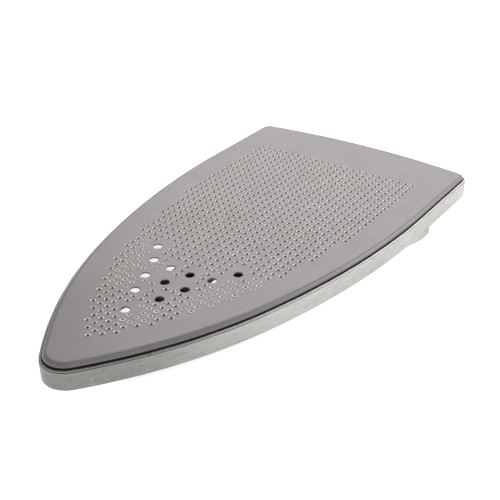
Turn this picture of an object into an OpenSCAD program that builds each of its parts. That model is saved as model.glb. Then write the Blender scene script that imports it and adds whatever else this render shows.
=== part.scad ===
// Slip-on iron shoe: a perforated non-stick pressing sole in a brushed frame,
// lying sole face up. Millimetres, +Z out of the sole face, +Y from toe to heel.

/* [Sole] */
// length of the pressing sole from toe tip to heel
sole_len = 221.1; // [215:0.1:235]
// width of the pressing sole at the heel
sole_w = 115; // [110:0.5:120]
// radius of the toe tip seen from above
nose_r = 9; // [7:0.1:10]
// radius of the outline behind the toe
mid_r = 195.5; // [185:0.5:205]
// radius of the outline along the sides
side_r = 333; // [320:1:350]
// radius of the bowed heel edge
heel_r = 333; // [250:1:500]
// radius of the two heel corners
corner_r = 4; // [3.6:0.1:6]
// thickness of the sole sheet
sole_t = 0.5; // [0.4:0.05:0.6]
// radius of the rolled shoulder round the sole
shoulder_r = 1.6; // [1.2:0.1:2]

/* [Perforation] */
// distance between neighbouring small steam holes
pitch = 3.5; // [3.4:0.05:3.6]
// diameter of a small steam hole
hole_d = 1.3; // [0.8:0.1:1.6]
// diameter of a large steam port
port_d = 3.8; // [3:0.1:4.4]

/* [Frame] */
// height of the frame wall
wall_h = 8.2; // [8:0.1:9]
// height of the sole face above the frame's bottom edge
face_h = 10.2; // [10:0.1:11]
// thickness of the frame wall
wall_t = 1.0; // [0.8:0.05:1.1]
// distance from the sole's edge to the outside of the frame
frame_out = 1.2; // [1.2:0.05:1.5]
// open groove between the sole and the frame's lip
groove_w = 0.36; // [0.3:0.02:0.4]
// how far the side ears reach below the frame
ear_drop = 3.2; // [3.1:0.1:4]

/* [Bail] */
// diameter of the spring wire
wire_d = 1.8; // [1.6:0.1:1.8]
// diameter of the sleeve on the cross bar
sleeve_d = 3.8; // [3:0.1:3.8]
// length of the sleeve
sleeve_len = 60; // [30:1:70]
// place of the pivot along the shoe
pivot_y = 51.5; // [50:0.5:53]

/* [Hidden] */
$fn = 96;

// the folded bail stands out behind the heel, so the sole sits towards -Y of the middle
shift_y = -1.1;

// outline of the sole: a chain of tangent arcs, measured from the toe direction
half_w = sole_w / 2;
mid_a = 72.72;
toe_a = asin((side_r - half_w - (side_r - mid_r) * sin(mid_a)) / (mid_r - nose_r));
tip_y = shift_y - sole_len / 2;
heel_y = shift_y + sole_len / 2;
nose_y = tip_y + nose_r;
mid_x = tidy(-(mid_r - nose_r) * sin(toe_a));
mid_y = tidy(nose_y + (mid_r - nose_r) * cos(toe_a));
side_x = half_w - side_r;
side_y = tidy(mid_y + (side_r - mid_r) * cos(mid_a));
heel_c = heel_y - heel_r;
corner_x = half_w - corner_r;
corner_y = tidy(heel_c + sqrt(pow(heel_r - corner_r, 2) - pow(corner_x, 2)));

// heights
rim_z = ear_drop;
lip_z = rim_z + wall_h;
face_z = rim_z + face_h;
under_z = face_z - sole_t;
skirt_z = lip_z - 0.6;
carrier_t = 0.8;
seal_t = 1.8;
carrier_z = skirt_z - seal_t - carrier_t;
seat_t = 1.8;
ledge_t = 0.6;
ledge_z = carrier_z - ledge_t;

// widths, measured outwards from the edge of the sole
wall_in = frame_out - wall_t;
skirt_t = 1.0;
sheet_edge = -2.6;
fold_edge = -3.2;
lap_edge = -1;
ledge_edge = -2;
window_edge = -11;
seat_edge = -10;
// gaps between parts that are pressed in and parts that are laid in
press_gap = 0.02;
lay_gap = 0.05;

// bail
wire_r = wire_d / 2;
run_gap = 0.05;
wire_z = 2.0;
bar_y = heel_y + frame_out + sleeve_d / 2 + 0.7;
leg_x = half_w - 5.1;
bend_r = 4;
turn_r = 1.0;
block_in = half_w - 3.7;
bore_x = half_w + wall_in - 1.02;
wire_end = bore_x - 0.5;
washer_x = block_in - 0.15;
washer_t = 0.4;
collar_len = 3;
end_gap = 0.3;

// toe pocket
clip_t = 0.8;
clip_w = 28;
clip_end = tip_y + 28;
flare = rim_z + 1.2;
block_back = tip_y + 13;
toe_fix = [[2.8, tip_y + 9], [-2.8, tip_y + 9]];
toe_r = 1.0;

// steam holes: first column of each row from the middle outwards, last column
row_start = [-18, -17, -16, -14, -13, -11, -9, -7, -5, -2, 2, 7, 13];
last_col = 31;
grid_y = shift_y - 28.95;
// columns left out round the ports: row, first, last
left_out = [[0, -13, -11], [0, -7, -5], [1, -12, -12], [1, -9, -8], [1, -6, -2],
    [2, -9, -8], [2, -6, -2], [3, -6, -5], [4, -6, -6], [4, -3, -2],
    [5, -3, 1], [6, -1, 1], [7, 0, 0]];
// large ports: column, row
ports = [[-12.43, 0], [-8.92, 1.7], [-8.92, -1.7], [-5.96, 0], [-5.96, 2.79],
    [-5.96, -2.79], [-3.25, 1.36], [-3.25, -1.36], [-2.85, 4.13], [-2.85, -4.13],
    [-0.22, 5.79], [-0.22, -5.79]];
// fixings between sole and carrier
fixings = [[50, 68], [-50, 68], [49, 16], [-49, 16], [38, -31], [-38, -31],
    [20.5, -73], [-20.5, -73], [30, 94], [-30, 94], [0, 97]];
rivet_r = 1.5;
bush_r = 2.6;

function tidy(v) = round(v * 1000) / 1000;

function kept(row, col) =
    len([for (gap = left_out) if (gap[0] == abs(row) && col >= gap[1] && col <= gap[2]) 1]) == 0;

// where the arcs of the outline grown by g meet
function toe_end(g) = tidy(nose_y - (nose_r + g) * cos(toe_a));
function mid_end(g) = tidy(mid_y - (mid_r + g) * cos(mid_a));

// area between the heel corners
module heel_wedge() {
    k = 1.2;
    polygon([[0, heel_c], [corner_x * k, heel_c + (corner_y - heel_c) * k],
        [-corner_x * k, heel_c + (corner_y - heel_c) * k]]);
}

// strip across the shoe between two distances along it
module strip(from, to) translate([-100, from]) square([200, to - from]);

// area inside the outline grown by g
module plan(g) {
    y1 = toe_end(g);
    y2 = mid_end(g);
    if (nose_r + g > 0) translate([0, nose_y]) circle(nose_r + g);
    translate([-1, nose_y]) square([2, corner_y - nose_y]);
    intersection() {
        translate([mid_x, mid_y]) circle(mid_r + g, $fn = 720);
        translate([-mid_x, mid_y]) circle(mid_r + g, $fn = 720);
        strip(y1, y2);
    }
    intersection() {
        translate([side_x, side_y]) circle(side_r + g, $fn = 720);
        translate([-side_x, side_y]) circle(side_r + g, $fn = 720);
        strip(y2, side_y);
    }
    translate([-half_w - g, side_y]) square([sole_w + 2 * g, corner_y - side_y]);
    translate([-corner_x, side_y]) square([2 * corner_x, corner_y + 0.5 - side_y]);
    if (corner_r + g > 0)
        for (s = [-1, 1]) translate([s * corner_x, corner_y]) circle(corner_r + g);
    intersection() {
        translate([0, heel_c]) circle(heel_r + g, $fn = 720);
        heel_wedge();
        strip(corner_y, corner_y + 40);
    }
}

// wall that follows the outline
module ring(outer, inner, from, to) translate([0, 0, from]) linear_extrude(to - from) difference() {
    plan(outer);
    plan(inner);
}

module steam_holes() {
    for (row = [-12:12])
        for (col = [row_start[abs(row)]:last_col])
            if (kept(row, col)) translate([row * pitch, grid_y + col * pitch]) circle(d = hole_d, $fn = 24);
}

module port_holes(d) {
    for (port = ports) translate([port[1] * pitch, grid_y + port[0] * pitch]) circle(d = d);
}

// the rolled shoulder, built up in thin layers that follow a quarter circle
module shoulder() {
    layers = 5;
    lap = 0.3;
    for (i = [0:layers - 1]) {
        a = 90 * (i + 0.5) / layers;
        from = face_z - shoulder_r + shoulder_r * sin(90 * i / layers);
        to = face_z - shoulder_r + shoulder_r * sin(90 * (i + 1) / layers);
        inset = tidy(shoulder_r * (1 - cos(a)));
        ring(-inset, from < under_z - 0.05 ? -skirt_t - inset / 2 : fold_edge, tidy(from), tidy(to));
    }
    ring(0, -skirt_t, skirt_z, face_z - shoulder_r);
    ring(lap_edge, fold_edge, under_z, tidy(under_z + lap));
}

module sole_plate() color([0.58, 0.56, 0.58]) {
    shoulder();
    translate([0, 0, under_z]) linear_extrude(sole_t) difference() {
        plan(sheet_edge);
        steam_holes();
        port_holes(port_d);
    }
}

// soft ring that the sole's skirt sits on
module gap_seal() color([0.06, 0.06, 0.06])
    ring(wall_in - press_gap, sheet_edge, skirt_z - seal_t, skirt_z);

// side ears: drop below the rim on a ramp and end square towards the heel
module ear_shape() {
    front = pivot_y - 10.5;
    back = pivot_y + 6.7;
    foot = 0.6;
    top = rim_z + 0.5;
    rotate([90, 0, 90]) linear_extrude(140, center = true)
        polygon([[front, top], [front, rim_z], [back - foot - 0.8, 0.15], [back - foot, 0],
            [back, 0], [back, top]]);
}

// wall, lip with a fine line under it, and inner ledge for the carrier
module frame_ring() color([0.72, 0.73, 0.72]) {
    lip_z0 = lip_z - 0.55;
    line_z = lip_z0 - 0.25;
    overlap = 0.1;
    ring(frame_out, wall_in, rim_z, line_z);
    ring(frame_out - 0.35, groove_w, line_z - overlap, lip_z - overlap);
    ring(frame_out - 0.1, groove_w, lip_z0, lip_z);
    ring(wall_in + overlap, ledge_edge, ledge_z, ledge_z + ledge_t);
    intersection() {
        ring(frame_out, wall_in, 0, rim_z + 1);
        ear_shape();
    }
}

// steam windows under the ports: one at the toe and a stepped pair beside a spine
module windows() {
    toe_window = [0, grid_y - 36.95];
    toe_window_r = 8.5;
    spine = 8.1;
    step_x = 20;
    front = grid_y - 27.95;
    step_y = grid_y + 1.75;
    back = step_y + 10;
    translate(toe_window) circle(toe_window_r);
    for (s = [0, 1]) mirror([s, 0]) {
        intersection() {
            plan(window_edge);
            translate([spine, front]) square([half_w, step_y + 0.3 - front]);
        }
        intersection() {
            plan(window_edge);
            translate([step_x, step_y]) square([half_w, back - step_y]);
        }
    }
}

module fixing_holes() {
    for (f = fixings) translate(f) circle(rivet_r);
}

// inner plate, with a raised seat for the iron's soleplate behind the toe clip
module carrier_plate() color([0.12, 0.12, 0.12]) {
    seat_front = clip_end + flare + 0.6;
    translate([0, 0, carrier_z]) linear_extrude(carrier_t) difference() {
        plan(wall_in - lay_gap);
        windows();
        fixing_holes();
    }
    translate([0, 0, carrier_z - seat_t]) linear_extrude(seat_t) difference() {
        intersection() {
            plan(seat_edge);
            strip(seat_front, heel_y);
        }
        windows();
        fixing_holes();
    }
}

module spacer_bushes() color([0.75, 0.75, 0.76])
    for (f = fixings) translate([f[0], f[1], carrier_z + carrier_t])
        linear_extrude(under_z - carrier_z - carrier_t) difference() {
            circle(bush_r);
            circle(rivet_r);
        }

module sole_rivets() color([0.6, 0.6, 0.62])
    for (f = fixings) translate([f[0], f[1], carrier_z])
        cylinder(h = under_z - carrier_z, r = rivet_r);

// nose insert that the toe clip is riveted to
module toe_block() color([0.7, 0.7, 0.71])
    translate([0, 0, rim_z + clip_t]) linear_extrude(ledge_z - rim_z - clip_t) difference() {
        intersection() {
            plan(wall_in - lay_gap);
            strip(tip_y - frame_out, block_back);
        }
        for (f = toe_fix) translate(f) circle(toe_r);
    }

// spring tongue over the toe pocket with a flared lead-in
module toe_clip() color([0.62, 0.63, 0.65]) {
    overlap = 0.6;
    flare_end = clip_end + flare;
    translate([0, 0, rim_z]) linear_extrude(clip_t) difference() {
        intersection() {
            plan(wall_in - lay_gap);
            translate([-clip_w / 2, tip_y - frame_out]) square([clip_w, clip_end - tip_y + frame_out]);
        }
        for (f = toe_fix) translate(f) circle(toe_r);
    }
    intersection() {
        rotate([90, 0, 90]) linear_extrude(clip_w, center = true)
            polygon([[clip_end - overlap, rim_z], [clip_end - overlap, rim_z + clip_t],
                [clip_end, rim_z + clip_t], [flare_end, clip_t * 0.6],
                [flare_end, 0], [flare_end - overlap, 0]]);
        linear_extrude(face_z) plan(wall_in - lay_gap);
    }
}

module toe_rivets() color([0.6, 0.6, 0.62]) {
    head_t = 0.5;
    head_r = 1.8;
    for (f = toe_fix) translate([f[0], f[1], rim_z - head_t]) {
        cylinder(h = ledge_z - rim_z + head_t, r = toe_r);
        cylinder(h = head_t, r = head_r);
    }
}

// foot of a pivot block: slopes like the ear that hides it
module foot_shape(wide, back) {
    front = pivot_y - 6;
    rotate([90, 0, 90]) linear_extrude(wide)
        polygon([[front, rim_z], [front, rim_z - 1.4], [pivot_y + 3.5, 0], [back, 0], [back, rim_z]]);
}

// block inside the wall with a blind bore for the bail's turned-out end
// its foot shows as a tab under the frame behind the ear
module pivot_block(s) {
    slit = 0.35;
    tab_in = 0.25;
    wide = 10;
    front = pivot_y - 18;
    foot_back = pivot_y + 12.5;
    tab_front = pivot_y + 7;
    mirror([s > 0 ? 0 : 1, 0, 0]) difference() {
        union() {
            intersection() {
                union() {
                    translate([block_in, front, rim_z])
                        cube([wide, pivot_y + 6 - front, ledge_z - rim_z]);
                    translate([block_in, 0, 0]) foot_shape(wide, foot_back);
                }
                linear_extrude(face_z) plan(wall_in - press_gap);
            }
            intersection() {
                translate([block_in, tab_front, 0])
                    cube([wide, foot_back - tab_front, rim_z - slit]);
                linear_extrude(face_z) plan(frame_out - tab_in);
            }
        }
        translate([block_in - 1, pivot_y, wire_z]) rotate([0, 90, 0])
            cylinder(h = bore_x - block_in + 1, r = wire_r + run_gap);
    }
}

module pivot_block_left() color([0.66, 0.66, 0.68]) pivot_block(-1);

module pivot_block_right() color([0.66, 0.66, 0.68]) pivot_block(1);

module washer(s) translate([s > 0 ? washer_x - washer_t : -washer_x, pivot_y, wire_z])
    rotate([0, 90, 0]) linear_extrude(washer_t) difference() {
        circle(wire_r + 0.85);
        circle(wire_r);
    }

module washer_left() color([0.8, 0.8, 0.78]) washer(-1);

module washer_right() color([0.8, 0.8, 0.78]) washer(1);

module bail_wire() color([0.55, 0.56, 0.58]) {
    for (s = [0, 1]) mirror([s, 0, 0]) {
        translate([leg_x + turn_r, pivot_y, wire_z]) rotate([0, 90, 0])
            cylinder(h = wire_end - leg_x - turn_r, r = wire_r);
        translate([leg_x + turn_r, pivot_y + turn_r, wire_z]) rotate([0, 0, 180])
            rotate_extrude(angle = 90) translate([turn_r, 0]) circle(wire_r);
        translate([leg_x, pivot_y + turn_r, wire_z]) rotate([-90, 0, 0])
            cylinder(h = bar_y - bend_r - pivot_y - turn_r, r = wire_r);
        translate([leg_x - bend_r, bar_y - bend_r, wire_z])
            rotate_extrude(angle = 90) translate([bend_r, 0]) circle(wire_r);
    }
    translate([bend_r - leg_x, bar_y, wire_z]) rotate([0, 90, 0])
        cylinder(h = 2 * (leg_x - bend_r), r = wire_r);
}

// crimped stop beside the sleeve
module collar(s) translate([s * (sleeve_len + 2 * end_gap + collar_len) / 2, bar_y, wire_z])
    rotate([0, 90, 0]) linear_extrude(collar_len, center = true) difference() {
        circle(wire_r + 0.7);
        circle(wire_r);
    }

module collar_left() color([0.7, 0.68, 0.6]) collar(-1);

module collar_right() color([0.7, 0.68, 0.6]) collar(1);

module bail_sleeve() color([0.1, 0.1, 0.1])
    translate([0, bar_y, wire_z]) rotate([0, 90, 0])
        linear_extrude(sleeve_len, center = true) difference() {
            circle(sleeve_d / 2);
            circle(wire_r + run_gap);
        }

// soft pad on the inside of a wall of radius r, over an arc of a degrees
module wall_pad(r, a) {
    pad_t = 1.8;
    pad_z = rim_z + 1;
    rotate_extrude(angle = a) translate([r + wall_in - press_gap - pad_t, pad_z])
        square([pad_t, ledge_z - 0.4 - pad_z]);
}

// pads that keep the iron centred
module side_pad(s) {
    pad_a = 6.5;
    mirror([s > 0 ? 0 : 1, 0, 0]) translate([side_x, side_y, 0]) rotate([0, 0, -10 - pad_a])
        wall_pad(side_r, pad_a);
}

module side_pad_left() color([0.16, 0.16, 0.17]) side_pad(-1);

module side_pad_right() color([0.16, 0.16, 0.17]) side_pad(1);

module heel_pad() color([0.16, 0.16, 0.17]) {
    pad_a = 8;
    translate([0, heel_c, 0]) rotate([0, 0, 90 - pad_a / 2])
        wall_pad(heel_r, pad_a);
}

sole_plate();
gap_seal();
frame_ring();
carrier_plate();
spacer_bushes();
sole_rivets();
toe_block();
toe_clip();
toe_rivets();
pivot_block_left();
pivot_block_right();
washer_left();
washer_right();
bail_wire();
collar_left();
collar_right();
bail_sleeve();
side_pad_left();
side_pad_right();
heel_pad();
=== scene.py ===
import math

import bpy
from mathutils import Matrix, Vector
from mathutils.geometry import delaunay_2d_cdt


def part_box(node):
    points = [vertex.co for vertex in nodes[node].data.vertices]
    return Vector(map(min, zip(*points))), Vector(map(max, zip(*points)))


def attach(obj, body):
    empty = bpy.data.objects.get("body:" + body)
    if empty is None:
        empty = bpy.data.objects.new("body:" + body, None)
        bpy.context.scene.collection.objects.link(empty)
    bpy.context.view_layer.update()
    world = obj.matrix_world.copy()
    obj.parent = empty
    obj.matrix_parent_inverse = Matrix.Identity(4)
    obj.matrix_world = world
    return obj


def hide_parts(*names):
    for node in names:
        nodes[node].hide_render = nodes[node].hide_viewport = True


MM = 0.001

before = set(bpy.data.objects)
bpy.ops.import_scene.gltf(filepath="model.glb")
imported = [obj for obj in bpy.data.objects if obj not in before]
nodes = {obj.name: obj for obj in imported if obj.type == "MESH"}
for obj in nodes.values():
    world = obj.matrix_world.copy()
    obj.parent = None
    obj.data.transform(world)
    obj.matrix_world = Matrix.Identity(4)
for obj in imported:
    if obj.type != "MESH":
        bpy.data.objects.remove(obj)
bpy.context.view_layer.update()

# ---------------------------------------------------------------- sizes, all in mm
SOLE_LEN = 221.1
SHEET_T = 0.5
WALL_H = 8.2
LEDGE_DROP, LEDGE_T = 2.6, 0.6
TIP_TO_GRID = 81.6

sole_low, sole_high = (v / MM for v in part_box("sole_plate"))
frame_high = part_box("frame_ring")[1] / MM
FACE_Z = sole_high.z
SKIRT_Z = sole_low.z
UNDER_Z = FACE_Z - SHEET_T
LIP_Z = frame_high.z
RIM_Z = LIP_Z - WALL_H
LEDGE_TOP = SKIRT_Z - LEDGE_DROP
LEDGE_Z = LEDGE_TOP - LEDGE_T
HALF_W = (sole_high.x - sole_low.x) / 2
HEEL_Y = sole_high.y
TIP_Y = HEEL_Y - SOLE_LEN
GRID_Y = TIP_Y + TIP_TO_GRID

# the outline is a chain of tangent arcs: nose, behind the toe, side, straight, corner, heel
NOSE_R, MID_R, SIDE_R, HEEL_R, CORNER_R = 9.0, 195.5, 333.0, 333.0, 4.0
MID_A = math.radians(72.72)
TOE_A = math.asin((SIDE_R - HALF_W - (SIDE_R - MID_R) * math.sin(MID_A)) / (MID_R - NOSE_R))
NOSE_Y = TIP_Y + NOSE_R
MID_X = -(MID_R - NOSE_R) * math.sin(TOE_A)
MID_Y = NOSE_Y + (MID_R - NOSE_R) * math.cos(TOE_A)
SIDE_X = HALF_W - SIDE_R
SIDE_Y = MID_Y + (SIDE_R - MID_R) * math.cos(MID_A)
HEEL_C = HEEL_Y - HEEL_R
CORNER_X = HALF_W - CORNER_R
CORNER_Y = HEEL_C + math.sqrt((HEEL_R - CORNER_R) ** 2 - CORNER_X ** 2)
CORNER_A = math.atan2(CORNER_Y - HEEL_C, CORNER_X)
NOSE_STEPS, MID_STEPS, SIDE_STEPS, STRAIGHT_STEPS, CORNER_STEPS, HEEL_STEPS = 14, 44, 44, 10, 12, 16

# edge of the sole: rolled shoulder, upright skirt, fillet up to the sheet
SHOULDER_R, SHOULDER_STEPS = 2.0, 12
SKIRT_T, SKIRT_BEVEL = 1.0, 0.12
FILLET_R = 0.9

# profile of the frame, outward from the sole's outline
LIP_IN, LIP_OUT, LINE_OUT = 0.44, 1.10, 0.90
WALL_IN, WALL_OUT = 0.2, 1.2
LEDGE_IN = -2.0
ROUND_STEPS = 3

# side ears of the frame: they slope down from front to low, and end in a step at the back
EAR_FRONT, EAR_LOW, EAR_BACK = 41.0, 57.0, 58.2
EAR_MIN_X = 40
EAR_STRAIGHT = 0.75
EAR_EASE = 0.8
EAR_STEP = 0.01

# hole grid of the sole, in rows beside the middle and columns from toe to heel
PITCH = 3.5
LAST_ROW, LAST_COL = 12, 31
# first column of each row, from the middle outward
ROW_START = [-18, -17, -16, -14, -13, -11, -9, -7, -5, -2, 2, 7, 13]
# places with no small hole, on both sides: row, first column, last column
LEFT_OUT = [(0, -13, -11), (0, -7, -5), (1, -12, -12), (1, -9, -8), (1, -6, -2),
            (2, -9, -8), (2, -6, -2), (3, -6, -5), (4, -6, -6), (4, -3, -2),
            (5, -3, 1), (6, -1, 1), (7, 0, 0)]
# column and row of each port
PORTS = [(-12.43, 0), (-8.92, 1.7), (-8.92, -1.7), (-5.96, 0), (-5.96, 2.79),
         (-5.96, -2.79), (-3.25, 1.36), (-3.25, -1.36), (-2.85, 4.13), (-2.85, -4.13),
         (-0.22, 5.79), (-0.22, -5.79)]

# material slots of the sole's skin; BLACK is painted shade in the groove along the edge, together with the
# real black seal there
COAT, RIM, BLACK = 0, 1, 2

# A hole is a stack of rings, each a radius and a height over the face, from its outer edge down to
# the underside. bands are the materials between the rings. The flat faces have no triangle whose
# middle is within top_cut or low_cut of the hole's centre.
HOLE = {
    "rings": [(1.24, 0), (1.10, 0.09), (0.92, 0.12), (0.75, 0.03), (0.58, -0.14), (0.56, -SHEET_T)],
    "bands": [COAT, RIM, RIM, RIM, COAT], "segments": 14, "top_cut": 1.21, "low_cut": 0.615,
}
PORT = {
    "rings": [(2.06, 0), (1.95, -0.04), (1.90, -0.12), (1.90, -SHEET_T)],
    "bands": [COAT, COAT, COAT], "segments": 32, "top_cut": 2.07, "low_cut": 1.89,
}
SEARCH_CELL = 4


# ---------------------------------------------------------------- outline and meshes
def half_outline(extra_y):
    """Points from the toe tip round the +X side to the middle of the heel: x, y, normal x, normal y."""
    pts = []

    def arc(cx, cy, r, a0, a1, n):
        for i in range(n):
            a = a0 + (a1 - a0) * i / n
            pts.append((cx + r * math.sin(a), cy - r * math.cos(a), math.sin(a), -math.cos(a)))

    arc(0, NOSE_Y, NOSE_R, 0, TOE_A, NOSE_STEPS)
    arc(MID_X, MID_Y, MID_R, TOE_A, MID_A, MID_STEPS)
    side_start = MID_Y - MID_R * math.cos(MID_A)
    ys = [side_start + (SIDE_Y - side_start) * i / SIDE_STEPS for i in range(SIDE_STEPS)]
    ys += [SIDE_Y + (CORNER_Y - SIDE_Y) * i / STRAIGHT_STEPS for i in range(STRAIGHT_STEPS + 1)]
    for y in sorted(set(ys) | set(extra_y)):
        if y < SIDE_Y:
            c = (SIDE_Y - y) / SIDE_R
            s = math.sqrt(1 - c * c)
            pts.append((SIDE_X + SIDE_R * s, y, s, -c))
        else:
            pts.append((HALF_W, y, 1.0, 0.0))
    for i in range(1, CORNER_STEPS + 1):
        a = CORNER_A * i / CORNER_STEPS
        pts.append((CORNER_X + CORNER_R * math.cos(a), CORNER_Y + CORNER_R * math.sin(a),
                    math.cos(a), math.sin(a)))
    for i in range(1, HEEL_STEPS + 1):
        a = CORNER_A + (math.pi / 2 - CORNER_A) * i / HEEL_STEPS
        pts.append((HEEL_R * math.cos(a), HEEL_C + HEEL_R * math.sin(a), math.cos(a), math.sin(a)))
    return pts


def outline(extra_y=()):
    """The whole outline, anticlockwise from the toe tip, with points at each extra y on the sides."""
    right = half_outline(extra_y)
    left = [(-x, y, -nx, ny) for x, y, nx, ny in reversed(right[1:-1])]
    return right + left


def new_object(name, verts, faces, body, materials, face_slots, sharp):
    mesh = bpy.data.meshes.new(name)
    mesh.from_pydata([tuple(c * MM for c in v) for v in verts], [], faces)
    mesh.validate()
    obj = bpy.data.objects.new(name, mesh)
    bpy.context.scene.collection.objects.link(obj)
    for m in materials:
        mesh.materials.append(m)
    if face_slots:
        mesh.polygons.foreach_set("material_index", face_slots)
    mesh.shade_smooth()
    mesh.set_sharp_from_angle(angle=math.radians(sharp))
    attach(obj, body)
    return obj


def sweep(profile, path, closed):
    """Verts and faces of a profile swept round the outline; profile(point) gives (u, z) pairs, u outward.
    A closed profile also joins its last pair to its first."""
    verts, faces = [], []
    rings = [profile(point) for point in path]
    for (x, y, nx, ny), ring in zip(path, rings):
        verts += [(x + u * nx, y + u * ny, z) for u, z in ring]
    count, n = len(rings[0]), len(path)
    for i in range(n):
        a, b = i * count, ((i + 1) % n) * count
        for k in range(count if closed else count - 1):
            k2 = (k + 1) % count
            faces.append((b + k, b + k2, a + k2, a + k))
    return verts, faces


def rounded(corners):
    """Rounds the corners of a closed loop; each corner is u, z and its radius."""
    out = []
    n = len(corners)
    for i, (u, z, radius) in enumerate(corners):
        p = Vector((u, z))
        da = Vector(corners[i - 1][:2]) - p
        db = Vector(corners[(i + 1) % n][:2]) - p
        cut = min(radius, da.length * 0.45, db.length * 0.45)
        if cut < 1e-4:
            out.append(tuple(p))
            continue
        s, e = p + da.normalized() * cut, p + db.normalized() * cut
        for k in range(ROUND_STEPS + 1):
            t = k / ROUND_STEPS
            out.append(tuple(s * (1 - t) ** 2 + p * 2 * t * (1 - t) + e * t * t))
    return out


def kept(row, col):
    return not any(r == abs(row) and a <= col <= b for r, a, b in LEFT_OUT)


def steam_holes():
    return [(row * PITCH, GRID_Y + col * PITCH)
            for row in range(-LAST_ROW, LAST_ROW + 1)
            for col in range(ROW_START[abs(row)], LAST_COL + 1) if kept(row, col)]


def port_centres():
    return [(row * PITCH, GRID_Y + col * PITCH) for col, row in PORTS]


# ---------------------------------------------------------------- materials
MIX_A, MIX_B, MIX_RESULT = 6, 7, 2  # colour sockets of the Mix node


def material(name):
    m = bpy.data.materials.new(name)
    m.use_nodes = True
    nt = m.node_tree
    for n in list(nt.nodes):
        nt.nodes.remove(n)
    out = nt.nodes.new("ShaderNodeOutputMaterial")
    bsdf = nt.nodes.new("ShaderNodeBsdfPrincipled")
    nt.links.new(bsdf.outputs[0], out.inputs[0])
    coord = nt.nodes.new("ShaderNodeTexCoord")
    return m, nt, bsdf, coord


def noise(nt, coord, scale, detail=3.0, stretch=(1, 1, 1), roughness=0.55):
    mp = nt.nodes.new("ShaderNodeMapping")
    mp.inputs["Scale"].default_value = stretch
    nt.links.new(coord.outputs["Object"], mp.inputs["Vector"])
    t = nt.nodes.new("ShaderNodeTexNoise")
    t.inputs["Scale"].default_value = scale
    t.inputs["Detail"].default_value = detail
    t.inputs["Roughness"].default_value = roughness
    nt.links.new(mp.outputs[0], t.inputs["Vector"])
    return t.outputs["Fac"]


def spread(nt, value, low, high, from_low=0.3, from_high=0.7):
    """value as a number from low to high."""
    r = nt.nodes.new("ShaderNodeMapRange")
    r.inputs["From Min"].default_value = from_low
    r.inputs["From Max"].default_value = from_high
    r.inputs["To Min"].default_value = low
    r.inputs["To Max"].default_value = high
    nt.links.new(value, r.inputs["Value"])
    return r.outputs[0]


def tint(nt, value, dark, light, from_low=0.3, from_high=0.7):
    """value as a colour from dark to light."""
    r = nt.nodes.new("ShaderNodeValToRGB")
    r.color_ramp.elements[0].position = from_low
    r.color_ramp.elements[0].color = (*dark, 1)
    r.color_ramp.elements[1].position = from_high
    r.color_ramp.elements[1].color = (*light, 1)
    nt.links.new(value, r.inputs["Fac"])
    return r.outputs["Color"]


def mix_colour(nt, a, b, mode="MULTIPLY"):
    n = nt.nodes.new("ShaderNodeMix")
    n.data_type = "RGBA"
    n.blend_type = mode
    n.inputs["Factor"].default_value = 1.0
    nt.links.new(a, n.inputs[MIX_A])
    nt.links.new(b, n.inputs[MIX_B])
    return n.outputs[MIX_RESULT]


def bump(nt, bsdf, heights):
    """heights: (value, strength, distance in mm) from coarse to fine."""
    last = None
    for value, strength, distance in heights:
        b = nt.nodes.new("ShaderNodeBump")
        b.inputs["Strength"].default_value = strength
        b.inputs["Distance"].default_value = distance * MM
        nt.links.new(value, b.inputs["Height"])
        if last:
            nt.links.new(last, b.inputs["Normal"])
        last = b.outputs[0]
    nt.links.new(last, bsdf.inputs["Normal"])


def coating():
    """Satin lilac-grey non-stick coat with warm and lilac clouds, fine flecks and faint rubbed streaks."""
    m, nt, bsdf, coord = material("coating")
    cloud = noise(nt, coord, 22, 2)
    hue = noise(nt, coord, 34, 3)
    speck = noise(nt, coord, 1500, 2)
    grain = noise(nt, coord, 5200, 1)
    streak = noise(nt, coord, 1.0, 3, (900, 40, 900), 0.6)
    base = tint(nt, cloud, (0.232, 0.210, 0.215), (0.260, 0.239, 0.246))
    warm = tint(nt, hue, (1.02, 1.0, 0.97), (0.985, 0.985, 1.035), 0.38, 0.62)
    fleck = tint(nt, speck, (0.88, 0.88, 0.89), (1.0, 0.99, 1.0), 0.32, 0.62)
    rubbed = tint(nt, streak, (0.955, 0.955, 0.955), (1.02, 1.02, 1.02), 0.35, 0.65)
    colour = mix_colour(nt, mix_colour(nt, base, warm), fleck)
    nt.links.new(mix_colour(nt, colour, rubbed), bsdf.inputs["Base Color"])
    nt.links.new(spread(nt, streak, 0.36, 0.48), bsdf.inputs["Roughness"])
    bsdf.inputs["Metallic"].default_value = 0.15
    bsdf.inputs["Specular IOR Level"].default_value = 0.5
    bump(nt, bsdf, [(cloud, 0.10, 0.25), (speck, 0.10, 0.025), (grain, 0.10, 0.01)])
    return m


def hole_rim():
    """Bare metal where the holes were punched through the coat."""
    m, nt, bsdf, coord = material("hole_rim")
    patch = noise(nt, coord, 700, 3)
    nt.links.new(tint(nt, patch, (0.52, 0.46, 0.42), (0.76, 0.69, 0.65)), bsdf.inputs["Base Color"])
    nt.links.new(spread(nt, patch, 0.28, 0.5), bsdf.inputs["Roughness"])
    bsdf.inputs["Metallic"].default_value = 0.5
    bump(nt, bsdf, [(noise(nt, coord, 4000, 2), 0.2, 0.02)])
    return m


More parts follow.
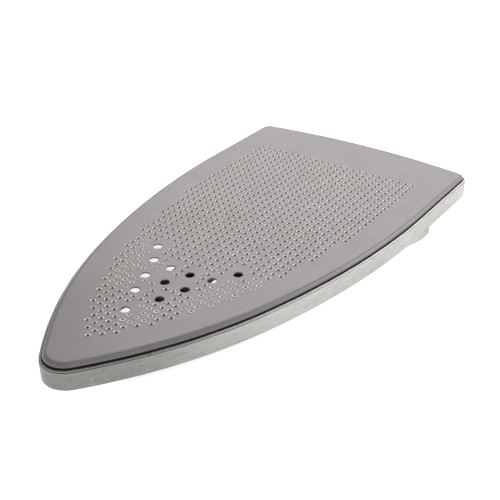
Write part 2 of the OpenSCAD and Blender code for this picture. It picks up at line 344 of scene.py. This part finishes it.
def brushed_nodes(name, dark, light, rough, grain, strength=0.25):
    """Metal with fine lines along the directions where grain is low."""
    m, nt, bsdf, coord = material(name)
    line = noise(nt, coord, 1.0, 4, grain, 0.65)
    cloud = noise(nt, coord, 40, 3)
    scratch = noise(nt, coord, 1.0, 1, (grain[0] * 4, grain[1] * 4, grain[2] * 0.35), 0.4)
    a = tint(nt, line, dark, light)
    b = tint(nt, cloud, (0.90, 0.90, 0.89), (1.0, 1.0, 1.0))
    c = tint(nt, scratch, (0.80, 0.80, 0.80), (1.0, 1.0, 1.0), 0.30, 0.36)
    colour = mix_colour(nt, mix_colour(nt, a, b), c)
    nt.links.new(colour, bsdf.inputs["Base Color"])
    nt.links.new(spread(nt, line, rough[0], rough[1]), bsdf.inputs["Roughness"])
    bsdf.inputs["Metallic"].default_value = 1.0
    bump(nt, bsdf, [(cloud, 0.08, 0.2), (line, strength, 0.02)])
    return m, nt, bsdf, coord, colour


def brushed(name, dark, light, rough, grain):
    return brushed_nodes(name, dark, light, rough, grain)[0]


def frame_metal():
    """Brushed frame: painted shade darkens its colour towards the toe, with a few bright cross scratches.
    """
    m, nt, bsdf, coord, colour = brushed_nodes(
        "frame_alu", (0.312, 0.311, 0.300), (0.572, 0.569, 0.550), (0.34, 0.5), (90, 90, 5600), 0.3)
    # painted shade: the colour darkens from the toe back to this y, for the darker light the toe end gets
    toe_shade_end_y = -30
    along = nt.nodes.new("ShaderNodeSeparateXYZ")
    nt.links.new(coord.outputs["Object"], along.inputs[0])
    painted_toe_shade = tint(nt, spread(nt, along.outputs["Y"], 0, 1, TIP_Y * MM, toe_shade_end_y * MM),
                (0.54, 0.55, 0.53), (1.0, 1.0, 0.99), 0.20, 0.85)
    nick = noise(nt, coord, 1.0, 2, (900, 900, 260), 0.5)
    bright = tint(nt, nick, (0, 0, 0), (0.16, 0.16, 0.155), 0.70, 0.78)
    toe_shaded_colour = mix_colour(nt, colour, painted_toe_shade)
    nt.links.new(mix_colour(nt, toe_shaded_colour, bright, "ADD"), bsdf.inputs["Base Color"])
    return m


def rubber(name, dark, light):
    m, nt, bsdf, coord = material(name)
    fine = noise(nt, coord, 2600, 3)
    cloud = noise(nt, coord, 90, 3)
    nt.links.new(tint(nt, cloud, dark, light), bsdf.inputs["Base Color"])
    nt.links.new(spread(nt, fine, 0.5, 0.7), bsdf.inputs["Roughness"])
    bump(nt, bsdf, [(cloud, 0.1, 0.1), (fine, 0.3, 0.03)])
    return m


def enamel_and_shade():
    """Black enamel of the inner plate, with a little dust; the black is partly painted shade, standing for
    the dark under the shoe seen through the ports.
    """
    m, nt, bsdf, coord = material("enamel_and_shade")
    peel = noise(nt, coord, 900, 2)
    dust = noise(nt, coord, 130, 4)
    # painted shade: near-black so that the ports show the shade under the shoe
    shade_black = tint(nt, dust, (0.005, 0.005, 0.006), (0.016, 0.015, 0.015))
    nt.links.new(shade_black, bsdf.inputs["Base Color"])
    bsdf.inputs["Specular IOR Level"].default_value = 0.25
    nt.links.new(spread(nt, peel, 0.35, 0.55), bsdf.inputs["Roughness"])
    bump(nt, bsdf, [(peel, 0.3, 0.03)])
    return m


mat_coat = coating()
mat_rim = hole_rim()
mat_frame = frame_metal()
mat_alu = brushed("bright_alu", (0.52, 0.52, 0.53), (0.70, 0.70, 0.70),
                  (0.22, 0.38), (900, 900, 900))
mat_spring = brushed("spring_steel", (0.30, 0.31, 0.33), (0.46, 0.47, 0.49),
                     (0.22, 0.36), (2500, 120, 2500))
mat_steel = brushed("steel", (0.44, 0.44, 0.45), (0.58, 0.58, 0.58),
                    (0.2, 0.34), (1200, 1200, 1200))
mat_brass = brushed("brass", (0.52, 0.40, 0.18), (0.70, 0.56, 0.28),
                    (0.2, 0.36), (3000, 800, 800))
# also used for painted shade: the black strips in the groove along the sole's edge
mat_seal_and_groove_shade = rubber("seal", (0.006, 0.006, 0.006), (0.014, 0.014, 0.014))
mat_silicone = rubber("silicone", (0.022, 0.022, 0.024), (0.042, 0.042, 0.045))
mat_enamel_and_shade = enamel_and_shade()

NODE_MATERIAL = {
    "gap_seal": mat_seal_and_groove_shade, "carrier_plate": mat_enamel_and_shade, "spacer_bushes": mat_alu,
    "sole_rivets": mat_alu, "toe_block": mat_alu, "toe_clip": mat_spring, "toe_rivets": mat_steel,
    "pivot_block_left": mat_frame, "pivot_block_right": mat_frame, "washer_left": mat_brass,
    "washer_right": mat_brass, "bail_wire": mat_spring, "collar_left": mat_brass,
    "collar_right": mat_brass, "bail_sleeve": mat_silicone, "side_pad_left": mat_silicone,
    "side_pad_right": mat_silicone, "heel_pad": mat_silicone, "sole_plate": mat_coat,
    "frame_ring": mat_frame,
}
for name, mat in NODE_MATERIAL.items():
    obj = nodes[name]
    if not obj.material_slots:
        obj.data.materials.append(mat)
    for s in obj.material_slots:
        s.material = mat


# ---------------------------------------------------------------- sole
def sole_profile():
    """Edge of the sole from the face down and in to the underside."""
    profile = []
    for i in range(SHOULDER_STEPS + 1):
        a = math.pi / 2 * i / SHOULDER_STEPS
        profile.append((-SHOULDER_R + SHOULDER_R * math.sin(a),
                        FACE_Z - SHOULDER_R + SHOULDER_R * math.cos(a)))
    third = FILLET_R / 3
    return profile + [
        (0, SKIRT_Z + SKIRT_BEVEL), (-SKIRT_BEVEL, SKIRT_Z),
        (SKIRT_BEVEL - SKIRT_T, SKIRT_Z), (-SKIRT_T, SKIRT_Z + SKIRT_BEVEL),
        (-SKIRT_T, UNDER_Z - FILLET_R), (-SKIRT_T - third, UNDER_Z - third),
        (-SKIRT_T - FILLET_R, UNDER_Z)]


def sole():
    path = outline()
    profile = sole_profile()
    verts, faces = sweep(lambda point: profile, path, closed=False)
    count, n = len(profile), len(path)
    # painted shade: the foot of the shoulder and the skirt in the groove are black, for the groove's
    # shadow together with the real black seal behind it
    shade_black = range(SHOULDER_STEPS - 2, SHOULDER_STEPS + 4)
    slots = [BLACK if k in shade_black else COAT for _ in path for k in range(count - 1)]

    def tube(cx, cy, kind):
        """Adds the wall of one hole, and returns its top and bottom loops."""
        first, segments = len(verts), kind["segments"]
        for r, height in kind["rings"]:
            for k in range(segments):
                a = 2 * math.pi * k / segments
                verts.append((cx + r * math.cos(a), cy + r * math.sin(a), FACE_Z + height))
        for i, band in enumerate(kind["bands"]):
            a, b = first + i * segments, first + (i + 1) * segments
            for k in range(segments):
                k2 = (k + 1) % segments
                faces.append((a + k, b + k, b + k2, a + k2))
                slots.append(band)
        bottom = first + len(kind["bands"]) * segments
        return list(range(first, first + segments)), list(range(bottom, bottom + segments))

    def flat(profile_index, loops, discs, z, up):
        """Fills a flat face inside one loop of the sweep, leaving the holes open."""
        owner = [i * count + profile_index for i in range(n)]
        edges = [(i, (i + 1) % n) for i in range(n)]
        for loop in loops:
            first, m = len(owner), len(loop)
            owner += loop
            edges += [(first + k, first + (k + 1) % m) for k in range(m)]
        pts = [Vector(verts[v][:2]) for v in owner]
        out_v, _, out_f, orig = delaunay_2d_cdt(pts, edges, [], 1, 1e-5, True)[:4]
        back = []
        for point, sources in zip(out_v, orig):
            if sources:
                back.append(owner[sources[0]])
            else:
                verts.append((point[0], point[1], z))
                back.append(len(verts) - 1)
        cells = {}
        for cx, cy, r in discs:
            key = (math.floor(cx / SEARCH_CELL), math.floor(cy / SEARCH_CELL))
            cells.setdefault(key, []).append((cx, cy, r))
        for f in out_f:
            c = sum((out_v[k] for k in f), Vector((0, 0))) / len(f)
            gx, gy = math.floor(c[0] / SEARCH_CELL), math.floor(c[1] / SEARCH_CELL)
            if any((c[0] - x) ** 2 + (c[1] - y) ** 2 < r * r
                   for i in (-1, 0, 1) for j in (-1, 0, 1)
                   for x, y, r in cells.get((gx + i, gy + j), ())):
                continue
            a, b, d = (out_v[k] for k in f[:3])
            turns_left = (b - a).cross(d - a) > 0
            loop = list(f) if turns_left == up else list(reversed(f))
            faces.append(tuple(back[k] for k in loop))
            slots.append(COAT)

    tops, lows, top_discs, low_discs = [], [], [], []
    for kind, centres in ((HOLE, steam_holes()), (PORT, port_centres())):
        for cx, cy in centres:
            top, low = tube(cx, cy, kind)
            tops.append(top)
            lows.append(low)
            top_discs.append((cx, cy, kind["top_cut"]))
            low_discs.append((cx, cy, kind["low_cut"]))
    flat(0, tops, top_discs, FACE_Z, True)
    flat(count - 1, lows, low_discs, UNDER_Z, False)
    obj = new_object("sole_skin", verts, faces, "shoe",
                     materials=(mat_coat, mat_rim, mat_seal_and_groove_shade), face_slots=slots, sharp=38)
    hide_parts("sole_plate")


# ---------------------------------------------------------------- frame
def frame_skin():
    path = outline((EAR_FRONT - EAR_STEP, EAR_FRONT + EAR_EASE, EAR_LOW, EAR_BACK, EAR_BACK + EAR_STEP))

    def bottom(x, y):
        """Height of the wall's lower edge, which the ears pull down to the table."""
        if abs(x) < EAR_MIN_X or y < EAR_FRONT or y > EAR_BACK + EAR_STEP / 2:
            return RIM_Z
        t = min(1.0, (y - EAR_FRONT) / (EAR_LOW - EAR_FRONT))
        soft = t * t * (3 - 2 * t)
        return RIM_Z * (1 - (EAR_STRAIGHT * t + (1 - EAR_STRAIGHT) * soft))

    def profile(point):
        low = bottom(point[0], point[1])
        return rounded([
            (LIP_IN, LIP_Z, 0.12), (LIP_OUT - 0.02, LIP_Z, 0.26), (LIP_OUT, LIP_Z - 0.52, 0.08),
            (LINE_OUT, LIP_Z - 0.60, 0.03), (LINE_OUT, LIP_Z - 0.74, 0.03),
            (WALL_OUT, LIP_Z - 0.84, 0.10), (WALL_OUT, low, 0.45), (WALL_IN, low, 0.15),
            (WALL_IN, LEDGE_Z, 0.0), (LEDGE_IN, LEDGE_Z, 0.12),
            (LEDGE_IN, LEDGE_TOP, 0.12), (WALL_IN, LEDGE_TOP, 0.0),
            (WALL_IN, LIP_Z - 0.8, 0.0), (LIP_IN, LIP_Z - 0.7, 0.0)])

    verts, faces = sweep(profile, path, closed=True)
    obj = new_object("frame_skin", verts, faces, "shoe",
                     materials=(mat_frame,), face_slots=None, sharp=40)
    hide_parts("frame_ring")


sole()
frame_skin()


# ---------------------------------------------------------------- stage, light, camera, in metres
FLOOR_HALF = 3.0
FLOOR_GLOW, WORLD_GLOW = 0.82, 0.42
LIGHT_POWER = 5.0
CAMERA_PLACE = (0.1978, -0.27345, 0.1968)
CAMERA_TILT, CAMERA_ROLL, CAMERA_TURN = 60.146, -0.306, 32.943
CAMERA_LENS, CAMERA_SENSOR, CAMERA_SHIFT_X = 65.0, 36.0, -0.069


def stage_floor():
    h = FLOOR_HALF
    mesh = bpy.data.meshes.new("floor")
    mesh.from_pydata([(-h, -h, 0), (h, -h, 0), (h, h, 0), (-h, h, 0)], [], [(0, 1, 2, 3)])
    obj = bpy.data.objects.new("floor", mesh)
    bpy.context.scene.collection.objects.link(obj)
    m = bpy.data.materials.new("floor")
    m.use_nodes = True
    b = m.node_tree.nodes["Principled BSDF"]
    b.inputs["Base Color"].default_value = (0.92, 0.92, 0.92, 1)
    b.inputs["Roughness"].default_value = 0.9
    b.inputs["Emission Color"].default_value = (1, 1, 1, 1)
    b.inputs["Emission Strength"].default_value = FLOOR_GLOW
    mesh.materials.append(m)


def area_light(name, place, aim, size):
    data = bpy.data.lights.new(name, "AREA")
    data.shape = "RECTANGLE"
    data.size, data.size_y = size
    data.energy = LIGHT_POWER
    obj = bpy.data.objects.new(name, data)
    bpy.context.scene.collection.objects.link(obj)
    obj.location = place
    obj.rotation_euler = (Vector(aim) - Vector(place)).to_track_quat("-Z", "Y").to_euler()


stage_floor()
world = bpy.data.worlds.new("world")
bpy.context.scene.world = world
world.use_nodes = True
world.node_tree.nodes["Background"].inputs["Color"].default_value = (1, 1, 1, 1)
world.node_tree.nodes["Background"].inputs["Strength"].default_value = WORLD_GLOW
area_light("back", place=(-0.35, 0.75, 0.55), aim=(0, 0.05, 0), size=(0.9, 0.6))
area_light("side", place=(0.62, 0.70, 0.52), aim=(0, 0.02, 0), size=(0.6, 0.45))

camera_data = bpy.data.cameras.new("camera")
camera_data.lens = CAMERA_LENS
camera_data.sensor_width = CAMERA_SENSOR
camera_data.shift_x = CAMERA_SHIFT_X
camera = bpy.data.objects.new("camera", camera_data)
bpy.context.scene.collection.objects.link(camera)
camera.location = CAMERA_PLACE
camera.rotation_euler = [math.radians(a) for a in (CAMERA_TILT, CAMERA_ROLL, CAMERA_TURN)]
bpy.context.scene.camera = camera
bpy.context.scene.view_settings.view_transform = "Standard"
